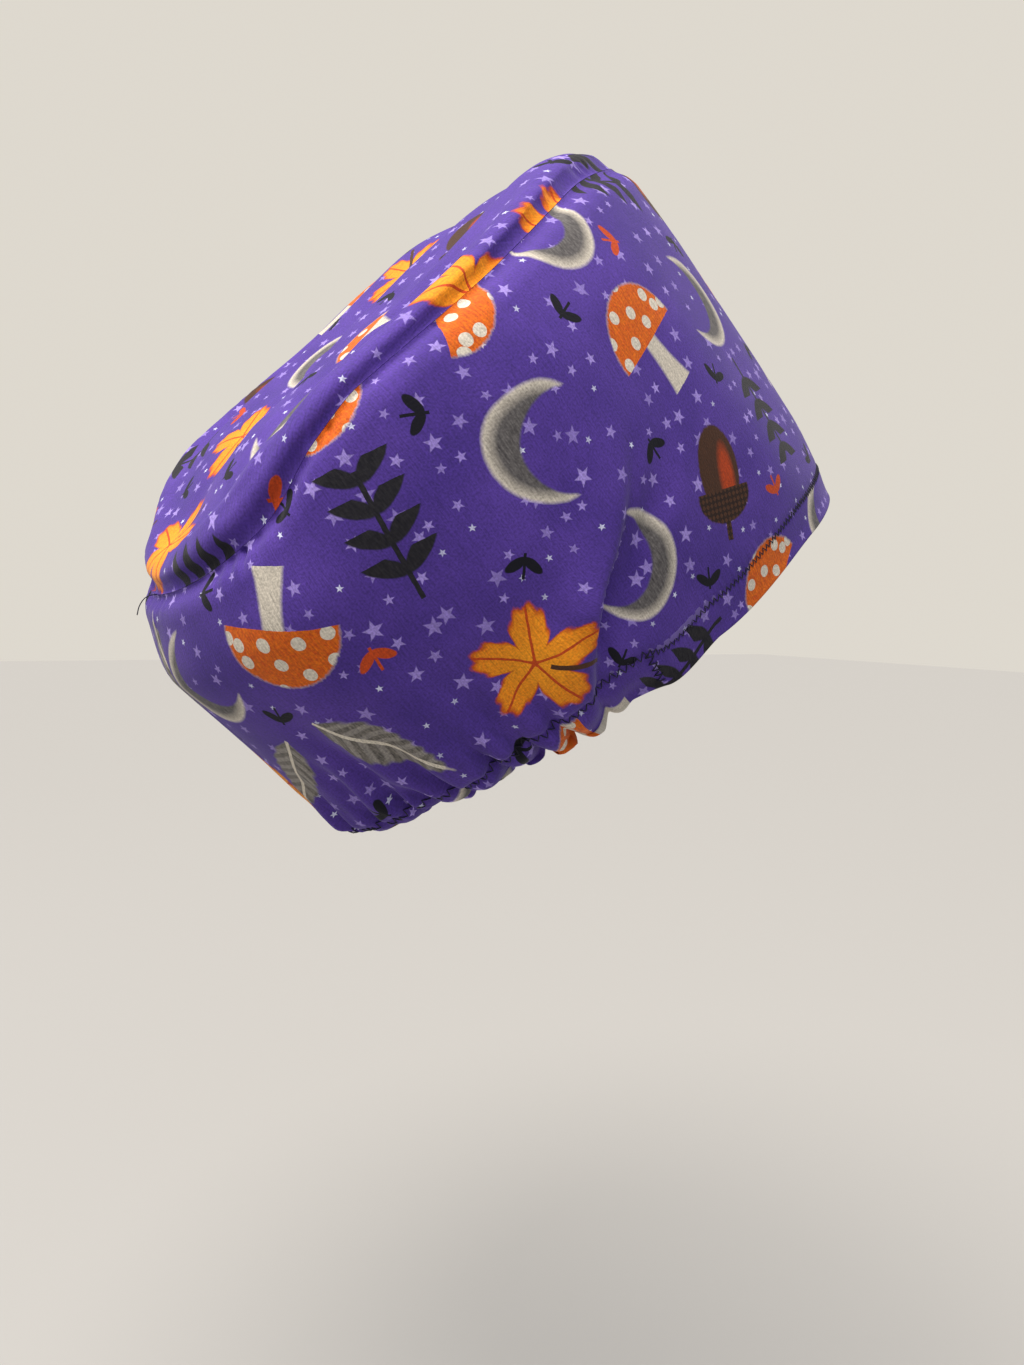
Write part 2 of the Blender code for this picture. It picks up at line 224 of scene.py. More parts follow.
# The gathers: valleys at uneven steps along the tape, and a rounded puff between each two
valleys = (np.arange(GATHERS + 1) + np.r_[0, chance.uniform(-0.24, 0.24, GATHERS - 1), 0]) / GATHERS
puff_size = chance.uniform(0.66, 1.12, GATHERS)
puff_reach = chance.uniform(0.026, 0.050, GATHERS)
sway = 0.006 * np.sin(TURN * 23) * np.minimum(from_rim / 0.04, 1)
run = (TURN - ELASTIC_START) / (2 * math.pi - 2 * ELASTIC_START) + sway
gathered = (run > 0) & (run < 1)
gap = np.clip(np.searchsorted(valleys, np.clip(run, 0, 0.9999), side="right") - 1, 0, GATHERS - 1)
across = np.clip((run - valleys[gap]) / np.diff(valleys)[gap], 0, 1)
ends = np.minimum(1, np.minimum(run, 1 - run) * 12)
puffs = np.where(gathered, np.sin(math.pi * across) ** 0.75 * puff_size[gap] * ends, 0)
pinch = 1 - 0.50 * np.exp(-(((from_rim - hem_top) / 0.0024) ** 2))
gathers = GATHER_RISE * puffs * fade(from_rim / puff_reach[gap]) * pinch

# Pleats that run up from the valleys and die out in the slack of the bag
pleats = np.zeros_like(SHARE)
for k in range(1, GATHERS):
    start = ELASTIC_START + valleys[k] * (2 * math.pi - 2 * ELASTIC_START)
    place = np.interp(start, turns, arc)
    lean, reach = chance.uniform(-0.22, 0.22), chance.uniform(0.030, 0.074)
    depth = chance.uniform(0.0014, 0.0034)
    rise = np.maximum(from_rim - 0.012, 0)
    spread = 0.0017 + 0.080 * rise
    bend = 0.0015 * np.sin(rise * 90 + k)
    offset = ARC - place - lean * rise - bend
    window = (1 - fade(rise / 0.006)) * fade(rise / reach)
    pleats -= depth * np.exp(-((offset / spread) ** 2)) * window
    pleats += 0.35 * depth * np.exp(-(((np.abs(offset) - 2 * spread) / spread) ** 2)) * window

# The lap above the ear: share, degrees of its edge, strength
LAP_RUN = np.array((
    (0.00, 119.0, 0.30), (0.08, 118.0, 0.55), (0.15, 116.0, 0.85), (0.24, 113.0, 1.00),
    (0.31, 109.0, 1.00), (0.38, 102.0, 0.84), (0.45, 96.5, 0.56), (0.55, 91.0, 0.18),
    (0.66, 86.0, 0.00), (0.82, 82.0, 0.00)))
edge = curve_through(LAP_RUN[:, 0], LAP_RUN[:, 1], SHARE)
strength = curve_through(LAP_RUN[:, 0], LAP_RUN[:, 2], SHARE)
ahead = (np.radians(edge) - from_front(TURN)) * OPENING_WIDTH / 2
over = 1 / (1 + np.exp(np.clip(ahead / (0.0011 + 0.012 * (1 - strength)), -40, 40)))
behind = np.maximum(-ahead, 0)
lap = strength * FOLD_STEP * over * fade(behind / FOLD_BACK)
lap -= strength * 0.0034 * np.exp(-(((ahead - 0.0030) / 0.0034) ** 2))
above_hem = 1 - fade((SHARE - hem_top / height) / 0.20)
lap -= 0.0040 * strength * above_hem * np.exp(-(((ahead - 0.0115) / 0.0085) ** 2))
lap_forward = 0.0034 * strength * over * fade(behind / 0.011)

# Slack waves of the cloth, larger towards the back
slack = np.interp(np.degrees(from_front(TURN)), [0, 70, 120, 180], [0.50, 0.80, 1.0, 1.0])
free = (1 - fade(from_rim / 0.03)) * (1 - fade((height - climb) / 0.03))
waves = np.zeros_like(SHARE)
for count, rows_up, size in ((3, 9, 0.0011), (5, 14, 0.0008), (8, -11, 0.0006), (13, 19, 0.0004)):
    waves += size * np.sin(2 * math.pi * count * ARC / total_arc + rows_up * climb + chance.uniform(0, 6))
waves *= slack * free

# Puckers where the seam and the hem are sewn
below_seam = height - climb
wander = 2.6 * np.sin(ARC * 61) + 1.9 * np.sin(ARC * 143 + 1)
uneven = 0.5 + 0.5 * np.sin(ARC * 47 + 2 * np.sin(ARC * 19)) + 0.25 * np.sin(ARC * 171)
uneven = np.clip(uneven, 0, 1)
pucker = 0.00034 * fade(below_seam / 0.013) * (1 - fade(below_seam / 0.0015))
pucker = pucker * uneven * np.sin(2 * math.pi * 74 * ARC / total_arc + wander)
on_hem = from_rim - hem_top
pucker += 0.00011 * np.exp(-((on_hem / 0.004) ** 2)) * np.sin(2 * math.pi * 170 * ARC / total_arc + wander)
pucker -= 0.00028 * np.exp(-((on_hem / 0.0010) ** 2))

# Short creases that point down from the seam: degrees of turn, length, depth
CREASE_RUN = ((212, 0.010, 0.0010), (203, 0.006, 0.0006), (236, 0.007, 0.0006), (147, 0.009, 0.0009),
              (118, 0.007, 0.0006), (258, 0.006, 0.0005), (96, 0.006, 0.0005))
for degrees, reach, depth in CREASE_RUN:
    offset = ARC - np.interp(math.radians(degrees), turns, arc)
    down_crease = fade(below_seam / reach) * (1 - fade(below_seam / 0.001))
    pucker -= depth * down_crease * np.exp(-((offset / 0.0011) ** 2))

# The upright seam at the middle of the back, where the band's two ends are joined
back_arc = np.interp(math.pi, turns, arc)
pucker -= 0.00045 * np.exp(-(((ARC - back_arc) / 0.0009) ** 2)) * (1 - fade(from_rim / 0.020))

face_normal = grid_normals(base)
forward = unit(np.cross(np.gradient(base, axis=0), face_normal))
forward *= np.where(TURN < math.pi, -1, 1)[..., None]
outer = base + face_normal * (gathers + pleats + lap + waves + pucker)[..., None]
outer = outer + forward * lap_forward[..., None]
# Each puff also hangs a little below the rim, so the lower edge is scalloped
outer -= unit(np.gradient(base, axis=0)) * (0.0017 * puffs * fade(from_rim / 0.011))[..., None]


def seam_frame(turn):
    """The seam, the way into the cap between its two cloths, and the way to the crown's side."""
    near = 0.03
    place, share = seam_point(turn), np.full(len(turn), 1 - near)
    down_band, up_crown = unit(band_point(turn, share) - place), unit(crown_point(turn, share) - place)
    along_seam = unit(seam_point(turn + near) - seam_point(turn - near))
    way_in = -unit(np.cross(down_band, along_seam)) - unit(np.cross(along_seam, up_crown))
    way_in = unit(way_in - along_seam * np.sum(way_in * along_seam, -1, keepdims=True))
    return place, way_in, np.cross(along_seam, way_in)


seam, inward, crownward = seam_frame(turns)
SEAM_GAP, FLANGE_START = 0.00008, 0.0012


def seam_sink(turn):
    """How far the stitches draw the seam in between its two cloths, least at the brow."""
    return 0.0013 + 0.0013 * (1 - fade((np.degrees(from_front(turn)) - 40) / 60))


outer = outer + inward * (seam_sink(TURN) * fade(below_seam / 0.0060))[..., None]
outer[-1] = seam + inward * seam_sink(turns)[:, None] - crownward * SEAM_GAP
outward = grid_normals(outer)

# The wall's inner face, the casing and the hem layer
tip = outer[-1] + inward * SEAM_ALLOWANCE
flange = [tip, tip - crownward * CLOTH, outer[-1] + inward * FLANGE_START - crownward * CLOTH * 1.2]
wall_rows = [r for r in range(len(rows) - 3, 2, -2)]
wall = [outer[r] - outward[r] * CLOTH for r in wall_rows]
casing = CLOTH + 0.00025 + 0.00235 * over_tape
hem_wave = puffs[3] * 0.0011


def hem_layer(levels, depth):
    """A row of the folded hem at these distances from the rim, this far in from the band's face."""
    place, normal = along_columns(base, levels), along_columns(face_normal, levels)
    return place - normal * depth[:, None]


HEM_FLOOR = 0.0012
floor_level = np.full(COLUMNS, HEM_FLOOR)
pinched = CLOTH + 0.00025
levels = [floor_level, 0.003 + 0 * hem_top, 0.4 * hem_top]
levels += [hem_top - 0.0035, hem_top - 0.0014, hem_top, hem_top + 0.0018]
fullness = [0.85, 1.0, 1.0, 1.0, 0.65, 0.0, 0.15]
layer = [pinched + (casing - pinched) * full + hem_wave * full for full in fullness]
hem_out = [hem_layer(level, depth) for level, depth in zip(levels, layer)]
hem_in = [hem_layer(level, depth + CLOTH) for level, depth in zip(levels, layer)][::-1]
down = -unit(outer[1] - outer[0])
inner_rim = hem_layer(np.zeros(COLUMNS), casing * 0.95 + CLOTH + hem_wave)
rim_fold = []
for angle in np.radians((150, 120, 90, 60, 30)):
    part = (1 - math.cos(angle)) / 2
    middle = outer[0] * (1 - part) + inner_rim * part
    thick = np.linalg.norm(outer[0] - inner_rim, axis=1, keepdims=True)
    rim_fold.append(middle + down * math.sin(angle) * thick * 0.42)

profile = [*outer, *flange, *wall, *hem_out, *hem_in, inner_rim, *rim_fold]
cut_size = len(profile)
points = np.stack(profile, 1).reshape(-1, 3)
# The flat pattern: u runs round the head, v runs up from the rim, and the folded hem carries on below it
hem_run = [-level for level in levels[::-1]]
pattern_v = [*climb, *[climb[-1] + 0.004] * 3, *[climb[r] for r in wall_rows], *[-level for level in levels],
             *hem_run, 0 * hem_top, *[0 * hem_top] * len(rim_fold)]
wrong_side = [0.0] * len(rows) + [0.6] * 3 + [1.0] * len(wall_rows) + [1.0] * len(levels)
wrong_side += [0.0] * (len(levels) + 1 + len(rim_fold))


def ring_faces(columns, size):
    """Four-sided faces that join closed cuts of the same size into one closed loop round the cap."""
    c, k = np.meshgrid(np.arange(columns), np.arange(size), indexing="ij")
    there, after = (c + 1) % columns, (k + 1) % size
    corners = (c * size + k, there * size + k, there * size + after, c * size + after)
    return np.stack(corners, -1).reshape(-1, 4)


def in_scene(name, data):
    """A new object of this mesh, curve, lamp or camera, put in the scene."""
    thing = bpy.data.objects.new(name, data)
    scene.collection.objects.link(thing)
    return thing


def cloth_mesh(name, points, faces, pattern, wrong, material):
    """A cloth piece with its flat pattern as UV map and its wrong side marked, facing outwards."""
    mesh = bpy.data.meshes.new(name)
    mesh.from_pydata(points.tolist(), [], [tuple(face) for face in faces])
    layer = mesh.uv_layers.new(name="flat_pattern")
    layer.data.foreach_set("uv", np.asarray(pattern, float).reshape(-1))
    mark = mesh.attributes.new("wrong_side", "FLOAT", "POINT")
    mark.data.foreach_set("value", np.asarray(wrong, float))
    mesh.validate()
    mesh.shade_smooth()
    mesh.set_sharp_from_angle(angle=math.radians(70))
    mesh.materials.append(material)
    return in_scene(name, mesh)


# Printed cotton: a purple ground with lavender and white stars, and painted autumn motifs scattered on it.
# It is a plain weave of fine yarns, a little fuzzy, and its wrong side shows the print paler.
PURPLE, DEEP_PURPLE = (0.078, 0.038, 0.270), (0.052, 0.025, 0.205)
LAVENDER, PALE = (0.300, 0.225, 0.590), (0.560, 0.580, 0.760)
ORANGE, RUST, GOLD = (0.640, 0.150, 0.006), (0.420, 0.050, 0.008), (0.720, 0.270, 0.012)
BROWN, DARK_BROWN = (0.060, 0.024, 0.012), (0.020, 0.009, 0.006)
GREY, DARK_GREY = (0.150, 0.140, 0.138), (0.040, 0.037, 0.040)
CREAM, INK = (0.560, 0.510, 0.430), (0.004, 0.004, 0.009)
MOTIF_SPACING, MOTIF_SIZE = 0.0460, 0.0205
YARN = 0.00042

printed_cotton = bpy.data.materials.new("printed_cotton")
printed_cotton.use_nodes = True
weave = printed_cotton.node_tree


def node_in(tree, kind, inputs=None, **settings):
    """A new node in this tree, with its settings made and its sockets set or linked."""
    made = tree.nodes.new(kind)
    for key, value in settings.items():
        setattr(made, key, value)
    for socket, value in (inputs or {}).items():
        if isinstance(value, bpy.types.NodeSocket):
            tree.links.new(value, made.inputs[socket])
        else:
            made.inputs[socket].default_value = value
    return made


def add(kind, inputs=None, **settings):
    return node_in(weave, kind, inputs, **settings)


def calc(operation, *values):
    return add("ShaderNodeMath", dict(enumerate(values)), operation=operation).outputs[0]


def inside(value, soft=0.03):
    """1 where the value is above nothing, with a soft painted edge."""
    return add("ShaderNodeMapRange", {"Value": value, "From Min": -soft, "From Max": soft}).outputs[0]


def blend(share, under, on_top):
    under = under if isinstance(under, bpy.types.NodeSocket) else (*under, 1)
    on_top = on_top if isinstance(on_top, bpy.types.NodeSocket) else (*on_top, 1)
    return add("ShaderNodeMix", {0: share, 6: under, 7: on_top}, data_type="RGBA").outputs[2]


def length_of(x, y):
    return calc("SQRT", calc("MULTIPLY_ADD", x, x, calc("MULTIPLY", y, y)))


def oval(x, y, wide, tall):
    """Above nothing inside an oval about the middle, below nothing outside."""
    return calc("SUBTRACT", 1.0, length_of(calc("DIVIDE", x, wide), calc("DIVIDE", y, tall)))


def lean(x, y, cosine, sine):
    """Local x and y of a leaf that leans away from its stalk."""
    return (calc("SUBTRACT", calc("MULTIPLY", x, cosine), calc("MULTIPLY", y, sine)),
            calc("ADD", calc("MULTIPLY", x, sine), calc("MULTIPLY", y, cosine)))


def scatter(spacing, randomness, shift):
    """Scattered places on the cloth: the way from the nearest one, and its three random numbers."""
    moved = add("ShaderNodeVectorMath", {0: pattern_place, 1: (*shift, 0)}, operation="ADD").outputs[0]
    cells = add("ShaderNodeTexVoronoi", {"Vector": moved, "Scale": 1 / spacing, "Randomness": randomness},
                voronoi_dimensions="2D")
    away = add("ShaderNodeVectorMath", {0: moved, 1: cells.outputs["Position"]}, operation="SUBTRACT")
    split = add("ShaderNodeSeparateColor", {0: cells.outputs["Color"]})
    return away.outputs[0], split.outputs[0], split.outputs[1], split.outputs[2]


def turned(away, turn, size):
    """Local x and y of a motif, turned by a random share of a circle and measured in its own size."""
    spun = add("ShaderNodeVectorRotate", {"Vector": away, "Angle": calc("MULTIPLY", turn, 2 * math.pi)},
               rotation_type="Z_AXIS").outputs[0]
    scaled = add("ShaderNodeVectorMath", {0: spun, 3: calc("DIVIDE", 1.0, size)}, operation="SCALE")
    split = add("ShaderNodeSeparateXYZ", {0: scaled.outputs[0]})
    return split.outputs[0], split.outputs[1]


def star(away, turn, size):
    """A five-pointed star, above nothing inside."""
    x, y = turned(away, turn, size)
    angle = calc("ARCTAN2", x, y)
    sector = 2 * math.pi / 5
    folded = calc("ABSOLUTE", calc("SUBTRACT", calc("FLOORED_MODULO", angle, sector), sector / 2))
    folded = calc("SUBTRACT", sector / 2, folded)
    reach = length_of(x, y)
    px, py = calc("MULTIPLY", reach, calc("COSINE", folded)), calc("MULTIPLY", reach, calc("SINE", folded))
    notch_x, notch_y = 0.42 * math.cos(sector / 2), 0.42 * math.sin(sector / 2)
    left = calc("MULTIPLY", calc("SUBTRACT", 1.0, px), notch_y)
    return calc("SUBTRACT", left, calc("MULTIPLY", py, 1 - notch_x))


flat_map = add("ShaderNodeUVMap", uv_map="flat_pattern").outputs[0]
brush = add("ShaderNodeTexNoise", {"Vector": flat_map, "Scale": 420.0, "Detail": 2.0})
wobble = add("ShaderNodeVectorMath", {0: brush.outputs["Color"], 1: (0.5, 0.5, 0.5)}, operation="SUBTRACT")
wobble = add("ShaderNodeVectorMath", {0: wobble.outputs[0], 3: 0.0004}, operation="SCALE")
pattern_place = add("ShaderNodeVectorMath", {0: flat_map, 1: wobble.outputs[0]}, operation="ADD").outputs[0]
mottle = add("ShaderNodeTexNoise", {"Vector": flat_map, "Scale": 38.0, "Detail": 3.0}).outputs[0]
along_brush = add("ShaderNodeVectorMath", {0: flat_map, 1: (1500, 420, 1)}, operation="MULTIPLY").outputs[0]
stroke = add("ShaderNodeTexNoise", {"Vector": along_brush, "Scale": 1.0, "Detail": 3.0}).outputs[0]
tone = add("ShaderNodeMapRange", {"Value": stroke, "From Min": 0.22, "From Max": 0.78}).outputs[0]

# Ground and stars
colour = blend(add("ShaderNodeMapRange", {"Value": mottle, "From Min": 0.3, "From Max": 0.7}).outputs[0],
               DEEP_PURPLE, PURPLE)
away, turn, kind, faded = scatter(0.0094, 0.78, (0.0, 0.0))
star_size = add("ShaderNodeMapRange", {"Value": kind, "From Max": 0.60, "To Min": 0.0030, "To Max": 0.0015})
smaller = calc("SUBTRACT", 1.0, calc("MULTIPLY", calc("GREATER_THAN", kind, 0.66), 0.26))
star_size = calc("MULTIPLY", star_size.outputs[0], smaller)
shown = calc("MULTIPLY", inside(star(away, turn, star_size), 0.03), calc("LESS_THAN", kind, 0.92))
shown = calc("MULTIPLY", shown, calc("MULTIPLY_ADD", faded, 0.40, 0.58))
colour = blend(shown, colour, blend(calc("GREATER_THAN", kind, 0.66), LAVENDER, PALE))

# Small dark leaves in pairs, between the large motifs
away, turn, kind, _ = scatter(MOTIF_SPACING, 0.22, (0.023 + 0.21, 0.023 + 0.33))
x, y = turned(away, turn, 0.0062)
wing = calc("ABSOLUTE", x)
leaning_x, leaning_y = lean(wing, y, 0.80, 0.60)
leaf = oval(calc("SUBTRACT", leaning_x, 0.50), leaning_y, 0.56, 0.24)
stalk_run = calc("LESS_THAN", calc("ABSOLUTE", calc("ADD", y, 0.35)), 0.6)
stalk = calc("MULTIPLY", calc("LESS_THAN", wing, 0.07), stalk_run)
colour = blend(calc("MAXIMUM", inside(leaf, 0.06), stalk), colour,
               blend(calc("GREATER_THAN", kind, 0.72), INK, RUST))

# Large motifs, one of six kinds at each place
away, turn, kind, _ = scatter(MOTIF_SPACING, 0.22, (0.21, 0.33))
x, y = turned(away, turn, MOTIF_SIZE)
side = calc("ABSOLUTE", x)
reach = length_of(x, y)
angle = calc("ARCTAN2", x, y)
rough = calc("MULTIPLY", calc("SUBTRACT", tone, 0.5), 0.05)


def within(low, high, value):
    return calc("MULTIPLY", calc("GREATER_THAN", value, low), calc("LESS_THAN", value, high))


# a lobed leaf
lobes = calc("POWER", calc("ABSOLUTE", calc("COSINE", calc("MULTIPLY", angle, 2.5))), 0.9)
teeth = calc("MULTIPLY", calc("SINE", calc("MULTIPLY", angle, 25.0)), 0.035)
leaf_edge = calc("ADD", calc("MULTIPLY_ADD", lobes, 0.52, 0.36), teeth)
leaf_shape = inside(calc("SUBTRACT", calc("ADD", leaf_edge, rough), reach))
leaf_stalk = calc("MULTIPLY", calc("LESS_THAN", side, 0.035), within(-0.95, -0.2, y))
vein = calc("MULTIPLY", calc("ABSOLUTE", calc("SINE", calc("MULTIPLY", angle, 2.5))), reach)
leaf_colour = blend(calc("MULTIPLY", calc("MULTIPLY", tone, reach), 1.2), GOLD, ORANGE)
leaf_colour = blend(calc("LESS_THAN", vein, 0.045), leaf_colour, RUST)
leaf_rim = inside(calc("SUBTRACT", reach, calc("SUBTRACT", leaf_edge, 0.06)), 0.05)
leaf_colour = blend(leaf_rim, leaf_colour, RUST)
leaf_colour = blend(leaf_stalk, leaf_colour, BROWN)

# an acorn
nut = inside(calc("ADD", oval(x, calc("ADD", y, 0.22), 0.46, 0.68), rough))
cup = calc("MULTIPLY", inside(calc("ADD", oval(x, calc("SUBTRACT", y, 0.16), 0.60, 0.44), rough)),
           calc("GREATER_THAN", y, 0.08))
acorn_stalk = calc("MULTIPLY", calc("LESS_THAN", side, 0.06), within(0.5, 0.88, y))
scales = calc("MULTIPLY", calc("SINE", calc("MULTIPLY", calc("ADD", x, y), 34.0)),
              calc("SINE", calc("MULTIPLY", calc("SUBTRACT", x, y), 34.0)))
acorn_colour = blend(inside(oval(calc("ADD", x, 0.16), calc("ADD", y, 0.1), 0.16, 0.45), 0.3), BROWN, RUST)
acorn_colour = blend(calc("MULTIPLY", tone, 0.4), acorn_colour, DARK_BROWN)
cup_colour = blend(calc("GREATER_THAN", scales, 0.1), DARK_BROWN, BROWN)
acorn_colour = blend(calc("MAXIMUM", cup, acorn_stalk), acorn_colour, cup_colour)

# a crescent moon
bite = inside(oval(calc("SUBTRACT", x, 0.34), calc("SUBTRACT", y, 0.06), 0.68, 0.68))
moon = calc("SUBTRACT", inside(calc("SUBTRACT", 0.80, reach)), bite)
moon_shape = calc("MAXIMUM", moon, 0.0)
moon_colour = blend(inside(calc("SUBTRACT", reach, 0.70), 0.10), blend(tone, GREY, DARK_GREY), CREAM)

# a toadstool
cap = inside(calc("ADD", oval(x, calc("ADD", y, 0.06), 0.84, 0.86), rough))
cap = calc("MULTIPLY", cap, calc("GREATER_THAN", y, -0.06))
stem_width = calc("MULTIPLY_ADD", calc("MULTIPLY", y, y), 0.14, 0.15)
stem = calc("MULTIPLY", inside(calc("SUBTRACT", stem_width, side)), within(-0.86, -0.02, y))
spots = add("ShaderNodeTexVoronoi", {"Vector": add("ShaderNodeCombineXYZ", {0: x, 1: y}).outputs[0],
                                     "Scale": 2.6, "Randomness": 0.6}, voronoi_dimensions="2D")
cap_colour = blend(tone, ORANGE, RUST)
cap_colour = blend(calc("LESS_THAN", spots.outputs["Distance"], 0.25), cap_colour, CREAM)
stool_colour = blend(cap, blend(calc("MULTIPLY", tone, 0.35), CREAM, GREY), cap_colour)

# a grey feather
feather_width = calc("MULTIPLY_ADD", y, -0.10, 0.36)
feather_width = calc("MULTIPLY", calc("SUBTRACT", 1.0, calc("MULTIPLY", y, y)), feather_width)
barbs = calc("SINE", calc("MULTIPLY", calc("SUBTRACT", y, calc("MULTIPLY", side, 0.9)), 26.0))
feather = inside(calc("SUBTRACT", calc("ADD", feather_width, calc("MULTIPLY", barbs, 0.022)), side))
feather_colour = blend(inside(barbs, 0.4), GREY, DARK_GREY)
feather_colour = blend(calc("MULTIPLY", tone, 0.35), feather_colour, CREAM)
feather_colour = blend(calc("LESS_THAN", side, 0.028), feather_colour, CREAM)
quill = calc("MULTIPLY", calc("LESS_THAN", side, 0.03), within(-1.0, 0.9, y))
feather_shape = calc("MAXIMUM", feather, quill)

# a dark sprig
step = calc("SUBTRACT", calc("FLOORED_MODULO", calc("ADD", y, 2.0), 0.42), 0.14)
sprig_x, sprig_y = lean(side, step, 0.82, -0.57)
leaflet = inside(oval(calc("SUBTRACT", sprig_x, 0.32), sprig_y, 0.34, 0.125), 0.08)
leaflet = calc("MULTIPLY", leaflet, within(-0.735, 0.935, y))
twig = calc("MULTIPLY", calc("LESS_THAN", side, 0.035), within(-1.0, 0.8, y))
sprig_shape = calc("MAXIMUM", leaflet, twig)
sprig_colour = blend(calc("MULTIPLY", tone, 0.5), INK, DARK_GREY)

MOTIFS = ((calc("MAXIMUM", leaf_shape, leaf_stalk), leaf_colour),
          (calc("MAXIMUM", calc("MAXIMUM", nut, cup), acorn_stalk), acorn_colour),
          (moon_shape, moon_colour), (calc("MAXIMUM", cap, stem), stool_colour),
          (feather_shape, feather_colour), (sprig_shape, sprig_colour))
for place, (shape, paint) in enumerate(MOTIFS):
    here = within(place / len(MOTIFS), (place + 1) / len(MOTIFS), kind)
    colour = blend(calc("MULTIPLY", shape, here), colour, paint)

# The weave: warp and weft yarns over and under, with a few thick yarns, and the paler wrong side
yarns = add("ShaderNodeSeparateXYZ", {0: flat_map})
warp = calc("SINE", calc("MULTIPLY", yarns.outputs[0], 2 * math.pi / YARN))
weft = calc("SINE", calc("MULTIPLY", yarns.outputs[1], 2 * math.pi / YARN))
along_yarns = add("ShaderNodeVectorMath", {0: flat_map, 1: (2600, 160, 1)}, operation="MULTIPLY").outputs[0]
slubs = add("ShaderNodeTexNoise", {"Vector": along_yarns, "Scale": 1.0, "Detail": 1.0})
over_under = calc("MULTIPLY", warp, weft)
grain = add("ShaderNodeTexNoise", {"Vector": flat_map, "Scale": 1500.0, "Detail": 2.0}).outputs[0]
fuzz = calc("MULTIPLY_ADD", calc("SUBTRACT", slubs.outputs[0], 0.5), 1.1,
            calc("MULTIPLY_ADD", calc("SUBTRACT", grain, 0.5), 1.9, calc("MULTIPLY", over_under, 0.20)))
shade = add("ShaderNodeMapRange", {"Value": fuzz, "From Min": -0.5, "From Max": 0.5,
                                   "To Min": 0.70, "To Max": 1.30})
colour = add("ShaderNodeVectorMath", {0: colour, 3: shade.outputs[0]}, operation="SCALE").outputs[0]
wrong = add("ShaderNodeAttribute", attribute_name="wrong_side").outputs["Fac"]
colour = blend(calc("MULTIPLY", wrong, 0.50), colour, (0.22, 0.17, 0.42))
bump = add("ShaderNodeBump", {"Height": fuzz, "Strength": 0.5, "Distance": 0.00012})
cloth_shader = weave.nodes["Principled BSDF"]
weave.links.new(colour, cloth_shader.inputs["Base Color"])
weave.links.new(bump.outputs[0], cloth_shader.inputs["Normal"])
roughness = add("ShaderNodeMapRange", {"Value": fuzz, "From Min": -0.5, "From Max": 0.5,
                                       "To Min": 0.76, "To Max": 0.92})
weave.links.new(roughness.outputs[0], cloth_shader.inputs["Roughness"])
cloth_shader.inputs["Specular IOR Level"].default_value = 0.22
cloth_shader.inputs["Sheen Weight"].default_value = 0.10
cloth_shader.inputs["Sheen Roughness"].default_value = 0.35

faces = ring_faces(COLUMNS, cut_size)
from_join = np.r_[arc, total_arc]
v_here = np.stack([np.broadcast_to(row, (COLUMNS,)) for row in pattern_v], 1)
face_column = faces[:, 0] // cut_size
corner_column = face_column[:, None] + (0, 1, 1, 0)
past_front = np.where(face_column < np.searchsorted(turns, math.pi), total_arc, 0.0)
pattern = np.stack((from_join[corner_column] + past_front[:, None],
                    v_here[corner_column % COLUMNS, faces % cut_size]), -1)
band_cloth = cloth_mesh("band_cloth", points, faces, pattern, np.tile(wrong_side, COLUMNS), printed_cotton)
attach(band_cloth, "root")
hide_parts("side_band")

# ---------------------------------------------------------------------------------------------
# The crown panel: a long egg-shaped piece of the same cotton, sewn to the band all round.
# It lies back over the head. Its edge stands up in a roll over the seam, and long soft folds run down it.

CROWN_COLUMNS = 560
# Metres of cloth from the seam to the middle, and the cloth's length over the arch beside its plan
CROWN_REACH, ARCH_STRETCH = 0.085, 1.06
crown_turns = np.linspace(0, 2 * math.pi, CROWN_COLUMNS, endpoint=False)
rings = np.concatenate((np.linspace(1, 0.88, 20), np.linspace(0.88, 0.02, 52)[1:]))
CROWN_TURN, RADIUS = np.meshgrid(crown_turns, rings)
crown_base = crown_point(CROWN_TURN, RADIUS)


def crown_normals(points):
    """Normals of the crown's grid, turned to point up and out of the cap."""
    normals = grid_normals(points)
    return normals * np.sign(normals[40, :, 2].mean())


crown_normal = crown_normals(crown_base)
along, across = crown_flat(CROWN_TURN, RADIUS)
side_share = across / (CROWN_WIDTH / 2)
to_seam = (1 - RADIUS) * CROWN_REACH

# Long folds down the crown: where across it, width, height, where along it they start and end
FOLD_RUN = ((-0.62, 0.13, 0.0027, 0.05, 0.75), (-0.36, 0.10, -0.0023, 0.18, 0.95),
            (-0.10, 0.16, 0.0021, 0.00, 0.70),
            (0.20, 0.11, -0.0021, 0.25, 1.00), (0.48, 0.14, 0.0026, 0.08, 0.82),
            (-0.78, 0.07, -0.0020, 0.35, 0.95), (0.74, 0.08, -0.0018, 0.30, 0.90))
relief = np.zeros_like(RADIUS)
for middle, spread, rise, first, last in FOLD_RUN:
    drift = middle + 0.10 * np.sin(along * 4.0 + middle * 9)
    window = (1 - fade((along - first) / 0.22)) * (1 - fade((last - along) / 0.22))
    relief += rise * window * np.exp(-(((side_share - drift) / spread) ** 2))
relief *= 1 - fade(to_seam / 0.016)

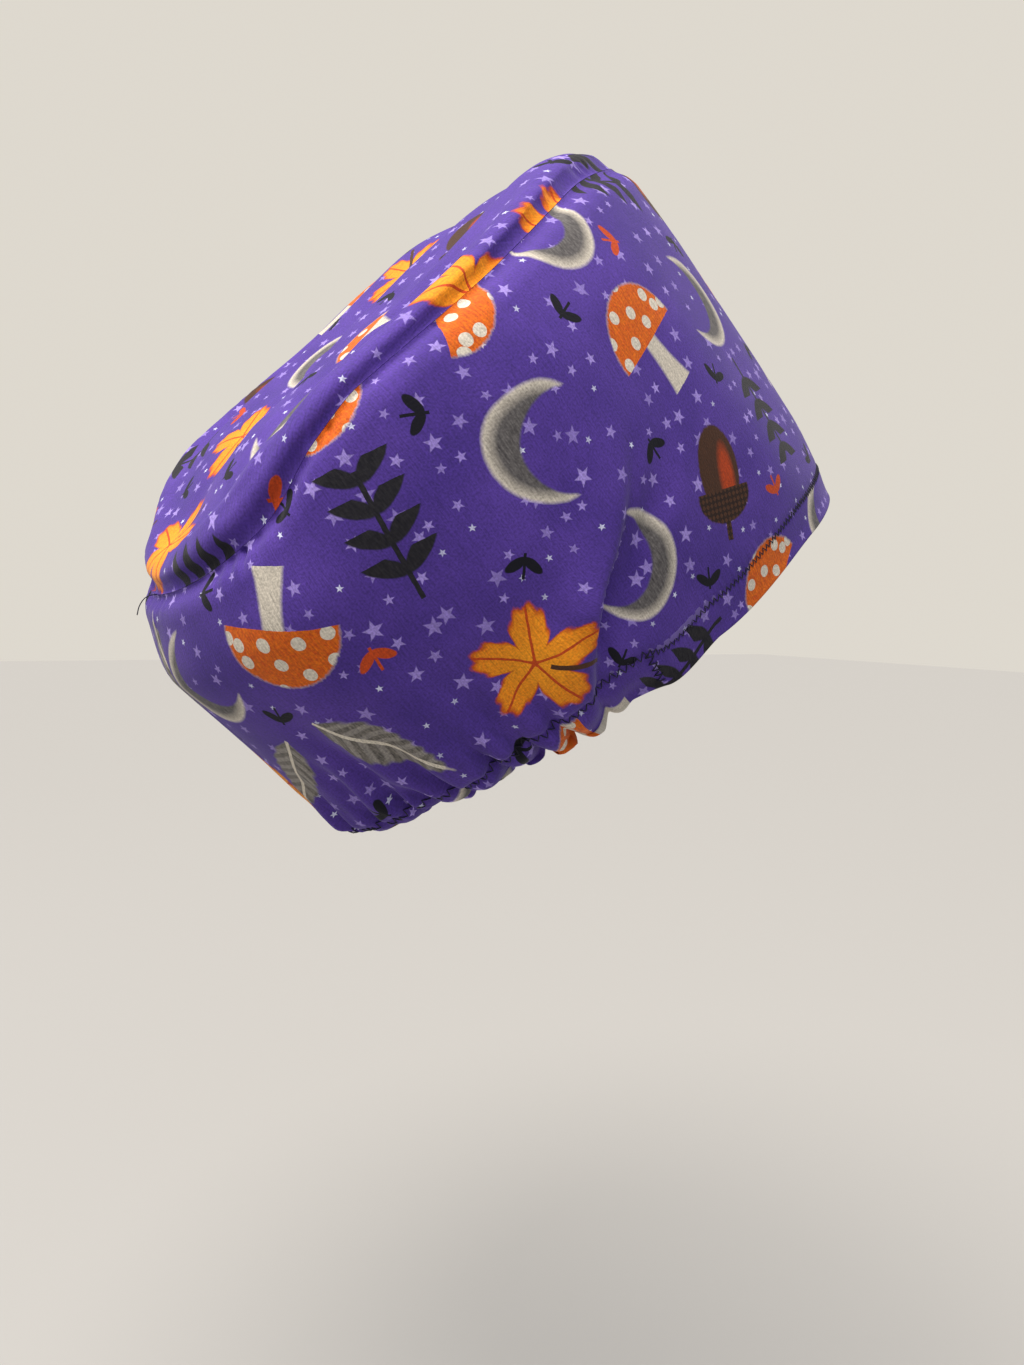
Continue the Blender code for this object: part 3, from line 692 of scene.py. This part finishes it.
# The trough beside the seam and the roll above it. Towards the back corner they deepen into a tuck.
# degrees, radius of the trough, its depth, the roll's rise
ROLL_RUN = np.array((
    (0, 0.968, 0.0000, 0.0000), (30, 0.966, 0.0002, 0.0003), (60, 0.966, 0.0006, 0.0009),
    (100, 0.964, 0.0014, 0.0020), (125, 0.960, 0.0022, 0.0026), (142, 0.956, 0.0030, 0.0034),
    (155, 0.958, 0.0030, 0.0032), (165, 0.964, 0.0020, 0.0020), (180, 0.972, 0.0006, 0.0006)))
degrees = np.degrees(from_front(CROWN_TURN))
trough, depth, roll = (curve_through(ROLL_RUN[:, 0], ROLL_RUN[:, k], degrees) for k in (1, 2, 3))
offset = (trough - RADIUS) * CROWN_REACH
relief -= depth * np.exp(-((offset / 0.0030) ** 2))
relief += roll * np.exp(-(((offset - 0.0062) / np.where(offset > 0.0062, 0.0070, 0.0030)) ** 2))
wander = 3.1 * np.sin(CROWN_TURN * 7) + 2.2 * np.sin(CROWN_TURN * 17 + 2)
uneven = 0.45 + 0.5 * np.sin(CROWN_TURN * 5 + 2 * np.sin(CROWN_TURN * 3)) + 0.3 * np.sin(CROWN_TURN * 19)
near_stitches = np.clip(uneven, 0, 1) * fade(to_seam / 0.012) * (1 - fade(to_seam / 0.0015))
relief += 0.00034 * near_stitches * np.sin(CROWN_TURN * 70 + wander)

crown_seam, into, upward = seam_frame(crown_turns)
crown_outer = crown_base + crown_normal * relief[..., None]
crown_outer = crown_outer + into * (seam_sink(CROWN_TURN) * fade(to_seam / 0.0045))[..., None]
crown_outer -= into * (1.15 * roll * np.exp(-(((to_seam - 0.0052) / 0.0026) ** 2)))[..., None]
crown_outer[0] = crown_seam + into * seam_sink(crown_turns)[:, None] + upward * SEAM_GAP
crown_out = crown_normals(crown_outer)
crown_tip = crown_outer[0] + into * SEAM_ALLOWANCE
crown_flange = [crown_tip, crown_tip + upward * CLOTH]
crown_flange.append(crown_outer[0] + into * FLANGE_START + upward * CLOTH * 1.2)
inner_rings = [r for r in range(3, len(rings), 3)]
crown_inner = [crown_outer[r] - crown_out[r] * CLOTH for r in inner_rings]

crown_profile = [*crown_outer[::-1], *crown_flange, *crown_inner]
crown_size = len(crown_profile)
crown_points = np.stack(crown_profile, 1).reshape(-1, 3)
faces = ring_faces(CROWN_COLUMNS, crown_size)
faces = faces[faces[:, 2] % crown_size != 0]
on_pattern = np.stack((across, along * CROWN_LENGTH * ARCH_STRETCH), -1)
EDGE_SPREAD, PATTERN_SHIFT = 1.05, (0.013, 0.007)
flat = [*on_pattern[::-1], *[on_pattern[0] * EDGE_SPREAD] * 3, *on_pattern[inner_rings]]
flat = np.stack(flat, 1).reshape(-1, 2) + PATTERN_SHIFT
polygons = [tuple(face) for face in faces]
outer_ring = [c * crown_size for c in range(CROWN_COLUMNS)]
inner_ring = [c * crown_size + crown_size - 1 for c in range(CROWN_COLUMNS)]
pattern = [flat[i] for face in polygons for i in face]
for ring, flip in ((outer_ring, False), (inner_ring, True)):
    crown_points = np.vstack((crown_points, crown_points[ring].mean(0)))
    flat = np.vstack((flat, flat[ring].mean(0)))
    middle = len(crown_points) - 1
    for c in range(CROWN_COLUMNS):
        face = (ring[c], middle, ring[(c + 1) % CROWN_COLUMNS])
        polygons.append(face[::-1] if flip else face)
        pattern.extend(flat[i] for i in polygons[-1])
wrong_crown = np.tile([0.0] * len(rings) + [0.6] * 3 + [1.0] * len(inner_rings), CROWN_COLUMNS)
wrong_crown = np.r_[wrong_crown, 0.0, 1.0]
crown_cloth = cloth_mesh("crown_cloth", crown_points, polygons, pattern, wrong_crown, printed_cotton)
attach(crown_cloth, "root")
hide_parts("crown_panel")

# ---------------------------------------------------------------------------------------------
# The elastic tape: white woven elastic, about 13 mm wide, in the casing from ear to ear round the back.
# Rubber cords run along it under the weave, so its faces are ribbed.

TAPE_DEPTH, TAPE_THICK, TAPE_RIBS = 0.0017, 0.0010, 6
TAPE_FOOT, TAPE_EASE = 0.0022, 0.0015
tape_turns = np.linspace(ELASTIC_START, 2 * math.pi - ELASTIC_START, 261)
tape_columns = np.array([np.abs(turns - turn).argmin() for turn in tape_turns])
section = [(share, 0.0) for share in np.linspace(0, 1, 25)]
section += [(share, 1.0) for share in np.linspace(1, 0, 25)]
tape_profile = []
for share, back in section:
    level = TAPE_FOOT + share * (hem_top - TAPE_EASE - TAPE_FOOT)
    rib = 0.00010 * (1 - abs(math.cos(math.pi * TAPE_RIBS * share)))
    rounding = (rib if back else -rib) + 0.0001 * (1 - 2 * back)
    depth_here = np.full(COLUMNS, TAPE_DEPTH + TAPE_THICK * back + rounding)
    tape_profile.append(hem_layer(level, depth_here)[tape_columns])
tape_points = np.stack(tape_profile, 1)
tape_bm = bmesh.new()
tape_verts = [[tape_bm.verts.new(p) for p in cut] for cut in tape_points]
for cut, following in zip(tape_verts, tape_verts[1:]):
    for k in range(len(section)):
        after = (k + 1) % len(section)
        tape_bm.faces.new((cut[k], following[k], following[after], cut[after]))
tape_bm.faces.new(tape_verts[0])
tape_bm.faces.new(tape_verts[-1][::-1])
if tape_bm.calc_volume(signed=True) < 0:
    bmesh.ops.reverse_faces(tape_bm, faces=tape_bm.faces)
tape_mesh = bpy.data.meshes.new("tape_woven")
tape_bm.to_mesh(tape_mesh)
tape_bm.free()
tape_mesh.shade_smooth()
tape_mesh.set_sharp_from_angle(angle=math.radians(60))


def yarn_finish(name, yarns_per_metre, dark, light, values):
    """A finish of fine yarns in two tones; values by the names of the shader's own sockets."""
    made = bpy.data.materials.new(name)
    made.use_nodes = True
    tree, shader = made.node_tree, made.node_tree.nodes["Principled BSDF"]
    place = node_in(tree, "ShaderNodeTexCoord").outputs["Object"]
    yarn = node_in(tree, "ShaderNodeTexNoise", {"Vector": place, "Scale": yarns_per_metre}).outputs[0]
    tint = node_in(tree, "ShaderNodeValToRGB", {0: yarn})
    tint.color_ramp.elements[0].color, tint.color_ramp.elements[1].color = (*dark, 1), (*light, 1)
    tree.links.new(tint.outputs[0], shader.inputs["Base Color"])
    for socket, value in values.items():
        shader.inputs[socket].default_value = value
    return made, tree, shader, yarn


woven_elastic, tree, shader, yarn = yarn_finish(
    "woven_elastic", 1400.0, (0.62, 0.61, 0.58), (0.88, 0.87, 0.84), {"Roughness": 0.8, "Sheen Weight": 0.2})
ribs = node_in(tree, "ShaderNodeBump", {"Height": yarn, "Distance": 0.0001})
tree.links.new(ribs.outputs[0], shader.inputs["Normal"])
tape_mesh.materials.append(woven_elastic)
tape_woven = in_scene("tape_woven", tape_mesh)
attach(tape_woven, "root")
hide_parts("elastic_tape")

# ---------------------------------------------------------------------------------------------
# The sewing: dark thread. A narrow zigzag holds the hem and the elastic in its casing all round the rim,
# a short one across the casing tacks each end of the elastic, and another binds the seam allowance inside.

thread_finish = yarn_finish(
    "sewing_thread", 3500.0, (0.003, 0.003, 0.010), (0.014, 0.011, 0.034),
    {"Roughness": 0.55, "Sheen Weight": 0.04, "Specular IOR Level": 0.2})[0]

zigzag = bpy.data.node_groups.new("zigzag_stitch", "GeometryNodeTree")
zigzag.interface.new_socket("Geometry", in_out="INPUT", socket_type="NodeSocketGeometry")
zigzag.interface.new_socket("Geometry", in_out="OUTPUT", socket_type="NodeSocketGeometry")
STITCH_SIZES = ("Stitch Length", "Stitch Width", "Thread Radius", "Lift")
for name in STITCH_SIZES:
    zigzag.interface.new_socket(name, in_out="INPUT", socket_type="NodeSocketFloat")
stitch_in, stitch_out = zigzag.nodes.new("NodeGroupInput"), zigzag.nodes.new("NodeGroupOutput")


def step_in(kind, links=None, **settings):
    return node_in(zigzag, kind, links, **settings)


def sum_of(operation, *values):
    return step_in("ShaderNodeMath", dict(enumerate(values)), operation=operation).outputs[0]


def way(operation, sockets):
    return step_in("ShaderNodeVectorMath", sockets, operation=operation).outputs[0]


line_curve = step_in("GeometryNodeMeshToCurve", {0: stitch_in.outputs["Geometry"]})
quarter = sum_of("MULTIPLY", stitch_in.outputs["Stitch Length"], 0.25)
resampled = step_in("GeometryNodeResampleCurve", {"Curve": line_curve.outputs[0], "Length": quarter},
                    mode="LENGTH")
number = zigzag.nodes.new("GeometryNodeInputIndex").outputs[0]
phase = sum_of("MULTIPLY", number, math.pi / 2)
half_width = sum_of("MULTIPLY", stitch_in.outputs["Stitch Width"], 0.5)
swing = sum_of("MULTIPLY", sum_of("COSINE", phase), half_width)
raised = sum_of("MULTIPLY", sum_of("ABSOLUTE", sum_of("SINE", phase)), stitch_in.outputs["Lift"])
face_way = step_in("GeometryNodeInputNamedAttribute", {0: "outward"}, data_type="FLOAT_VECTOR").outputs[0]
heading = zigzag.nodes.new("GeometryNodeInputTangent").outputs[0]
sideways = way("CROSS_PRODUCT", {0: heading, 1: face_way})
swung, lifted = way("SCALE", {0: sideways, 3: swing}), way("SCALE", {0: face_way, 3: raised})
moved_by = way("ADD", {0: swung, 1: lifted})
placed = step_in("GeometryNodeSetPosition", {"Geometry": resampled.outputs[0], "Offset": moved_by})
ply = step_in("GeometryNodeCurvePrimitiveCircle", {"Resolution": 6,
                                                   "Radius": stitch_in.outputs["Thread Radius"]})
sewn = step_in("GeometryNodeCurveToMesh", {"Curve": placed.outputs[0], "Profile Curve": ply.outputs[0],
                                           "Fill Caps": True})
single = step_in("GeometryNodeRealizeInstances", {0: sewn.outputs[0]})
finished = step_in("GeometryNodeSetMaterial", {"Geometry": single.outputs[0], "Material": thread_finish})
zigzag.links.new(finished.outputs[0], stitch_out.inputs[0])


def stitch_line(name, places, normals, closed, sizes):
    """A zigzag of thread sewn along these places on the cloth; sizes by the names of the tree's inputs."""
    guide = bpy.data.meshes.new(name)
    pairs = [(k, k + 1) for k in range(len(places) - 1)] + ([(len(places) - 1, 0)] if closed else [])
    guide.from_pydata([tuple(p) for p in places], pairs, [])
    mark = guide.attributes.new("outward", "FLOAT_VECTOR", "POINT")
    mark.data.foreach_set("vector", np.asarray(normals, float).reshape(-1))
    line = in_scene(name, guide)
    modifier = line.modifiers.new("stitches", "NODES")
    modifier.node_group = zigzag
    for item in zigzag.interface.items_tree:
        if item.name in sizes and item.in_out == "INPUT":
            modifier[item.identifier] = sizes[item.name]
    ready = line.evaluated_get(bpy.context.evaluated_depsgraph_get())
    mesh = bpy.data.meshes.new_from_object(ready)
    line.modifiers.clear()
    line.data = mesh
    mesh.shade_smooth()
    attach(line, "root")
    return line


TOPSTITCH = dict(zip(STITCH_SIZES, (0.0022, 0.0019, 0.00018, 0.00018)))
ELASTIC_STITCH = dict(zip(STITCH_SIZES, (0.0030, 0.0027, 0.00020, 0.00025)))
BINDING_STITCH = dict(zip(STITCH_SIZES, (0.0034, 0.0036, 0.00016, 0.0001)))
# How far below the hem's top the needle runs, and how far off the cloth the thread lies
NEEDLE_INSET, THREAD_OFF = 0.0006, 0.00012
level = hem_top - NEEDLE_INSET
line_places = along_columns(outer, level)
line_ways = unit(along_columns(outward, level))
sewn_places = line_places + line_ways * THREAD_OFF
TACK_TURN = math.radians(105)
first, last = np.searchsorted(turns, (TACK_TURN, 2 * math.pi - TACK_TURN))
round_front = np.r_[last:COLUMNS, 0:first + 1]
hem_zigzag = stitch_line("hem_zigzag", sewn_places[round_front], line_ways[round_front], False, TOPSTITCH)
behind_ears = slice(first, last + 1)
casing_zigzag = stitch_line("casing_zigzag", sewn_places[behind_ears], line_ways[behind_ears], False,
                            ELASTIC_STITCH)
for name, turn in (("tack_left", TACK_TURN), ("tack_right", 2 * math.pi - TACK_TURN)):
    column = np.abs(turns - turn).argmin()
    run_up = np.linspace(0.0015, hem_top[column] - NEEDLE_INSET, 12)
    levels_here = from_rim[:, column]
    places, ways = (np.stack([np.interp(run_up, levels_here, grid[:, column, k]) for k in range(3)], -1)
                    for grid in (outer, outward))
    ways = unit(ways)
    stitch_line(name, places + ways * THREAD_OFF, ways, False, ELASTIC_STITCH)
binding = outer[-1] + inward * SEAM_ALLOWANCE * 0.62 - crownward * (CLOTH + 0.0001)
stitch_line("seam_binding", binding, -crownward, True, BINDING_STITCH)

# A loose end of thread stands out where the seam ends at the back
loose_start = crown_seam[CROWN_COLUMNS // 2] + np.array((-0.004, 0, 0))
loose = bpy.data.curves.new("loose_thread", "CURVE")
loose.dimensions = "3D"
loose.bevel_depth = 0.00016
loose.bevel_resolution = 2
loose.resolution_u = 8
spline = loose.splines.new("BEZIER")
LOOSE_RUN = ((0, -0.001, 0), (-0.0012, 0.0022, -0.0008), (-0.0006, 0.0040, -0.0032),
             (0.0006, 0.0046, -0.0062))
spline.bezier_points.add(len(LOOSE_RUN) - 1)
for knot, shift in zip(spline.bezier_points, LOOSE_RUN):
    knot.co = Vector(loose_start) + Vector(shift)
    knot.handle_left_type = knot.handle_right_type = "AUTO"
loose.materials.append(thread_finish)
loose_object = in_scene("loose_thread_form", loose)
loose_ready = loose_object.evaluated_get(bpy.context.evaluated_depsgraph_get())
loose_mesh = bpy.data.meshes.new_from_object(loose_ready)
bpy.data.objects.remove(loose_object)
loose_thread = in_scene("loose_thread", loose_mesh)
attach(loose_thread, "root")

# ---------------------------------------------------------------------------------------------
# The room: a plain pale floor well below the cap, and soft studio light that comes mostly from above.

FLOOR_Z = -0.34
pale = bpy.data.materials.new("pale_paper")
pale.use_nodes = True
pale.node_tree.nodes["Principled BSDF"].inputs["Base Color"].default_value = (0.290, 0.288, 0.283, 1)
pale.node_tree.nodes["Principled BSDF"].inputs["Roughness"].default_value = 0.9
floor_mesh = bpy.data.meshes.new("floor")
floor_corners = [(x, y, FLOOR_Z) for x, y in ((-6, -6), (6, -6), (6, 6), (-6, 6))]
floor_mesh.from_pydata(floor_corners, [], [(0, 1, 2, 3)])
floor_mesh.materials.append(pale)
floor = in_scene("floor", floor_mesh)

world = bpy.data.worlds.new("pale_room")
scene.world = world
world.use_nodes = True
room, joins = world.node_tree.nodes, world.node_tree.links
seen_by, backdrop = room.new("ShaderNodeLightPath"), room.new("ShaderNodeBackground")
either = room.new("ShaderNodeMixShader")
room["Background"].inputs[0].default_value = (0.74, 0.84, 1.00, 1)
room["Background"].inputs[1].default_value = 0.25
backdrop.inputs[0].default_value = (0.73, 0.69, 0.62, 1)
joins.new(seen_by.outputs["Is Camera Ray"], either.inputs[0])
joins.new(room["Background"].outputs[0], either.inputs[1])
joins.new(backdrop.outputs[0], either.inputs[2])
joins.new(either.outputs[0], room["World Output"].inputs[0])

# One broad even light from overhead, and two weaker ones from the camera's side and from behind
overhead = bpy.data.lights.new("overhead", "SUN")
overhead.energy, overhead.angle, overhead.color = 7.0, math.radians(56), (1.0, 0.93, 0.84)
overhead_object = in_scene("overhead", overhead)
overhead_object.rotation_euler = Vector((0.10, -0.34, -1)).to_track_quat("-Z", "Y").to_euler()
for name, place, power in (("side_fill", (-0.75, 0.30, 0.75), 2.6), ("back_fill", (0.6, 0.9, 0.6), 1.6)):
    lamp = bpy.data.lights.new(name, "AREA")
    lamp.size, lamp.energy, lamp.color = 0.9, power, (0.94, 0.95, 1.0)
    lamp_object = in_scene(name, lamp)
    lamp_object.location = place
    to_cap = Vector((0, 0.03, 0.06)) - Vector(place)
    lamp_object.rotation_euler = to_cap.to_track_quat("-Z", "Y").to_euler()

# The camera stands at the wearer's right and a little behind, level with the ear
AHEAD, PITCH, ROLL = math.radians(31), math.radians(4.25), math.radians(1.13)
# The focal length and the frame's height in pixels, and the sensor's height in mm
FOCAL_LENGTH, FRAME_HEIGHT, SENSOR = 1025, 1365, 36.0
looking = Vector((math.cos(AHEAD) * math.cos(PITCH), -math.sin(AHEAD) * math.cos(PITCH), -math.sin(PITCH)))
level_right = Vector((-math.sin(AHEAD), -math.cos(AHEAD), 0))
level_up = level_right.cross(looking)
right = level_right * math.cos(ROLL) + level_up * math.sin(ROLL)
upright = level_up * math.cos(ROLL) - level_right * math.sin(ROLL)
camera_data = bpy.data.cameras.new("camera")
camera_data.sensor_fit = "VERTICAL"
camera_data.sensor_height = SENSOR
camera_data.lens = FOCAL_LENGTH / FRAME_HEIGHT * SENSOR
camera_data.clip_start = 0.01
camera = in_scene("camera", camera_data)
camera.matrix_world = Matrix((right, upright, -looking)).transposed().to_4x4()
camera.location = (-0.3202, 0.2204, 0.01975)
scene.camera = camera
scene.view_settings.view_transform = "Standard"
